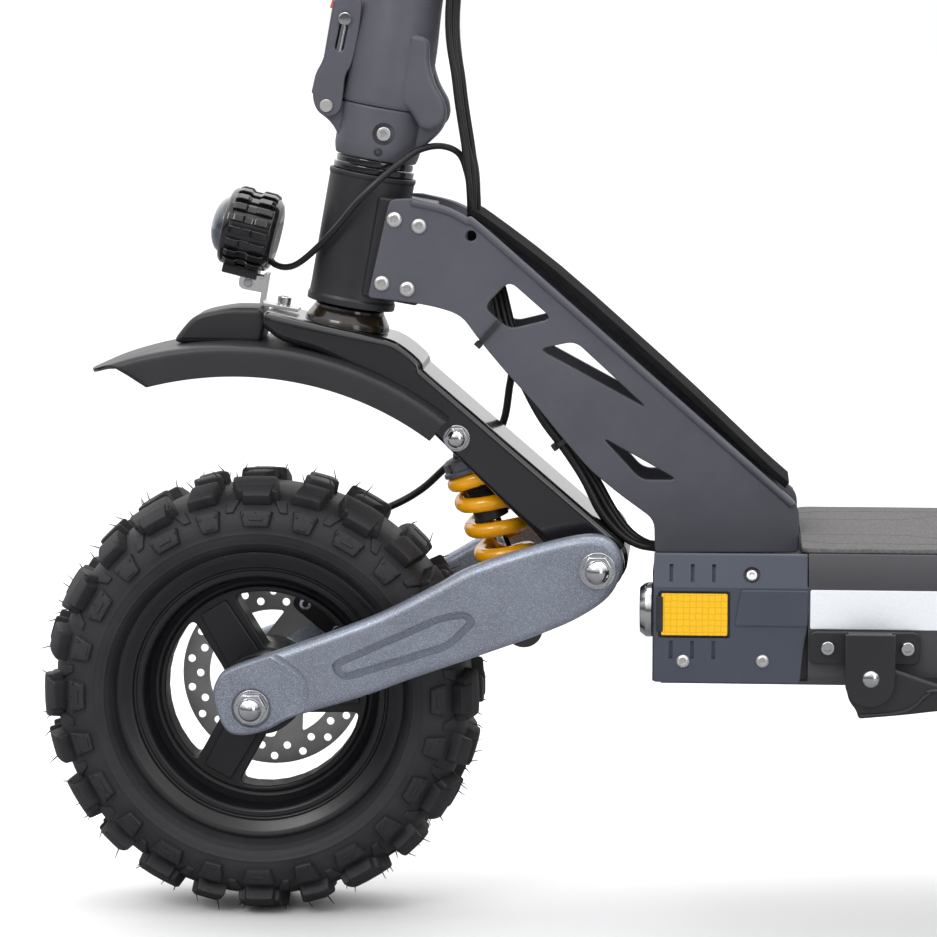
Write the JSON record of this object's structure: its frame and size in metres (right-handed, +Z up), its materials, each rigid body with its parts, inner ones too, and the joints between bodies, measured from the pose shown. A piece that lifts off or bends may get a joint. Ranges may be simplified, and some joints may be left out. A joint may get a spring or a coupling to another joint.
{
  "type": "electric kick scooter",
  "caption": "Folding electric kick scooter with dual swing arms front and rear, coil-over shocks, off-road tyres, plate neck and flat deck.",
  "frame": {"origin": "on the ground, below the centre of the scooter's box", "axes": "+X to the rear, +Y to the rider's right, +Z up"},
  "size_m": [1.3196, 0.63, 1.2751],
  "materials": {
    "gloss_black_paint": "gloss",
    "satin_black_paint": "painted satin",
    "black_alloy": "painted satin casting",
    "blue_grey_alloy": "painted metallic casting",
    "dark_grey_alloy": "painted satin casting",
    "steel": "brushed",
    "tyre_rubber": "matte",
    "grip_rubber": "matte ribbed",
    "cable_sheath": "satin",
    "spring_paint": "gloss",
    "matte_black_plastic": "fine texture",
    "slate_plastic": "satin",
    "deck_grip": "gritty",
    "lamp_black": "gloss",
    "signal_red": "gloss",
    "battery_wrap": "shrink wrap",
    "controller_case": "satin"
  },
  "bodies": {
    "frame": {"neck_plate_left": "dark_grey_alloy", "neck_plate_right": "dark_grey_alloy", "neck_cover": "slate_plastic", "head_tube": "satin_black_paint", "headset_bearing": "steel", "deck_shell": "satin_black_paint", "deck_front_plate": "satin_black_paint", "deck_mat": "deck_grip", "side_cover_left": "slate_plastic", "side_cover_right": "slate_plastic", "controller": "controller_case", "battery_pack": "battery_wrap", "horn": "matte_black_plastic", "kick_bracket": "steel", "rear_mount": "gloss_black_paint", "rear_fender": "matte_black_plastic", "tail_light": "signal_red", "neck_cables": "cable_sheath"},
    "kickstand": {"kickstand": "satin_black_paint"},
    "charge_cap": {"charge_cap": "grip_rubber"},
    "fork": {"fork": "gloss_black_paint", "fold_base": "dark_grey_alloy", "front_fender": "matte_black_plastic", "headlight_bracket": "steel", "front_brake_cable": "cable_sheath"},
    "headlight": {"headlight": "lamp_black"},
    "stem": {"stem": "dark_grey_alloy", "handlebar": "satin_black_paint", "grip_left": "grip_rubber", "grip_right": "grip_rubber", "controls_left": "matte_black_plastic", "controls_right": "matte_black_plastic", "stem_cables": "cable_sheath"},
    "fold_lever": {"fold_lever": "dark_grey_alloy"},
    "horn_button": {"horn_button": "signal_red"},
    "throttle": {"throttle": "matte_black_plastic"},
    "brake_lever_left": {"brake_lever_left": "steel"},
    "brake_lever_right": {"brake_lever_right": "steel"},
    "front_arm": {"front_arm_left": "blue_grey_alloy", "front_arm_right": "blue_grey_alloy", "front_axle": "steel", "front_caliper": "black_alloy"},
    "front_wheel": {"front_rim": "black_alloy", "front_tyre": "tyre_rubber", "front_brake_disc": "steel"},
    "front_caliper_arm": {"front_caliper_arm": "steel"},
    "front_shock": {"front_shock_body": "black_alloy", "front_spring": "spring_paint"},
    "front_shock_rod": {"front_shock_rod": "steel"},
    "rear_arm": {"rear_arm_left": "blue_grey_alloy", "rear_arm_right": "blue_grey_alloy", "rear_axle": "steel", "rear_caliper": "black_alloy"},
    "rear_wheel": {"rear_hub_motor": "black_alloy", "rear_tyre": "tyre_rubber", "rear_brake_disc": "steel"},
    "rear_caliper_arm": {"rear_caliper_arm": "steel"},
    "rear_shock": {"rear_shock_body": "black_alloy", "rear_spring": "spring_paint"},
    "rear_shock_rod": {"rear_shock_rod": "steel"}
  },
  "joints": [
    {"name": "steering", "type": "hinge", "parent": "frame", "child": "fork", "pos_m": [-0.4549, 0, 0.42885], "axis": [0.1736, 0, 0.9848], "range_deg": [-40, 40]},
    {"name": "stem_fold", "type": "hinge", "parent": "fork", "child": "stem", "pos_m": [-0.41221, 0, 0.50967], "axis": [0, 1, 0], "range_deg": [0, 92], "deforming": ["stem_cables"]},
    {"name": "fold_lever_swing", "type": "hinge", "parent": "fork", "child": "fold_lever", "pos_m": [-0.47512, 0, 0.51568], "axis": [0, -1, 0], "range_deg": [0, 100]},
    {"name": "headlight_tilt", "type": "hinge", "parent": "fork", "child": "headlight", "pos_m": [-0.52632, 0, 0.40387], "axis": [0, 1, 0], "range_deg": [-12, 12]},
    {"name": "kickstand_swing", "type": "hinge", "parent": "frame", "child": "kickstand", "pos_m": [-0.13384, -0.111, 0.17336], "axis": [0, 1, 0], "range_deg": [0, 95]},
    {"name": "charge_cap_flap", "type": "hinge", "parent": "frame", "child": "charge_cap", "pos_m": [-0.07684, 0.1063, 0.22186], "axis": [1, 0, 0], "range_deg": [0, 110]},
    {"name": "horn_button_press", "type": "slide", "parent": "stem", "child": "horn_button", "axis": [-0.9848, 0, 0.1736], "range_m": [0, 0.0016], "stiffness_N_per_m": 300, "springref_m": -0.001},
    {"name": "throttle_pull", "type": "hinge", "parent": "stem", "child": "throttle", "pos_m": [-0.31285, 0.1285, 1.23446], "axis": [0, 1, 0], "range_deg": [0, 30], "stiffness_Nm_per_rad": 0.4, "springref_deg": -17.19},
    {"name": "brake_lever_left_pull", "type": "hinge", "parent": "stem", "child": "brake_lever_left", "pos_m": [-0.35027, -0.176, 1.24106], "axis": [0.1736, 0, 0.9848], "range_deg": [0, 15], "stiffness_Nm_per_rad": 4, "springref_deg": -6.88},
    {"name": "brake_lever_right_pull", "type": "hinge", "parent": "stem", "child": "brake_lever_right", "pos_m": [-0.35027, 0.176, 1.24106], "axis": [-0.1736, 0, -0.9848], "range_deg": [0, 15], "stiffness_Nm_per_rad": 4, "springref_deg": -6.88},
    {"name": "front_suspension", "type": "hinge", "parent": "fork", "child": "front_arm", "pos_m": [-0.30134, 0, 0.23136], "axis": [0, 1, 0], "range_deg": [0, 12], "stiffness_Nm_per_rad": 250, "springref_deg": -11.46, "deforming": ["front_brake_cable"]},
    {"name": "front_wheel_spin", "type": "hinge", "parent": "front_arm", "child": "front_wheel", "pos_m": [-0.51784, 0, 0.14196], "axis": [0, 1, 0], "continuous": true},
    {"name": "front_shock_swing", "type": "hinge", "parent": "fork", "child": "front_shock", "pos_m": [-0.39184, 0, 0.30796], "axis": [0, 1, 0], "range_deg": [0, 1.8]},
    {"name": "front_shock_stroke", "type": "slide", "parent": "front_shock", "child": "front_shock_rod", "axis": [-0.3547, 0, 0.935], "range_m": [0, 0.0126], "deforming": ["front_spring"]},
    {"name": "front_caliper_pull", "type": "hinge", "parent": "front_arm", "child": "front_caliper_arm", "pos_m": [-0.46899, 0.0623, 0.20618], "axis": [0, -1, 0], "range_deg": [0, 15.5]},
    {"name": "rear_suspension", "type": "hinge", "parent": "frame", "child": "rear_arm", "pos_m": [0.26566, 0, 0.23136], "axis": [0, -1, 0], "range_deg": [0, 12], "stiffness_Nm_per_rad": 250, "springref_deg": -11.46},
    {"name": "rear_wheel_spin", "type": "hinge", "parent": "rear_arm", "child": "rear_wheel", "pos_m": [0.48216, 0, 0.14196], "axis": [0, 1, 0], "continuous": true},
    {"name": "rear_shock_swing", "type": "hinge", "parent": "frame", "child": "rear_shock", "pos_m": [0.35616, 0, 0.30796], "axis": [0, -1, 0], "range_deg": [0, 1.8]},
    {"name": "rear_shock_stroke", "type": "slide", "parent": "rear_shock", "child": "rear_shock_rod", "axis": [0.3547, 0, 0.935], "range_m": [0, 0.0126], "deforming": ["rear_spring"]},
    {"name": "rear_caliper_pull", "type": "hinge", "parent": "rear_arm", "child": "rear_caliper_arm", "pos_m": [0.43331, -0.0623, 0.20618], "axis": [0, 1, 0], "range_deg": [0, 15.5]}
  ],
  "couplings": [
    {"joint": "front_shock_swing", "follows": "front_suspension", "ratio": 0.1325},
    {"joint": "front_shock_stroke", "follows": "front_suspension", "m_per_rad": 0.0584},
    {"joint": "front_caliper_pull", "follows": "brake_lever_right_pull", "ratio": 1},
    {"joint": "rear_shock_swing", "follows": "rear_suspension", "ratio": 0.1325},
    {"joint": "rear_shock_stroke", "follows": "rear_suspension", "m_per_rad": 0.0584},
    {"joint": "rear_caliper_pull", "follows": "brake_lever_left_pull", "ratio": 1}
  ]
}
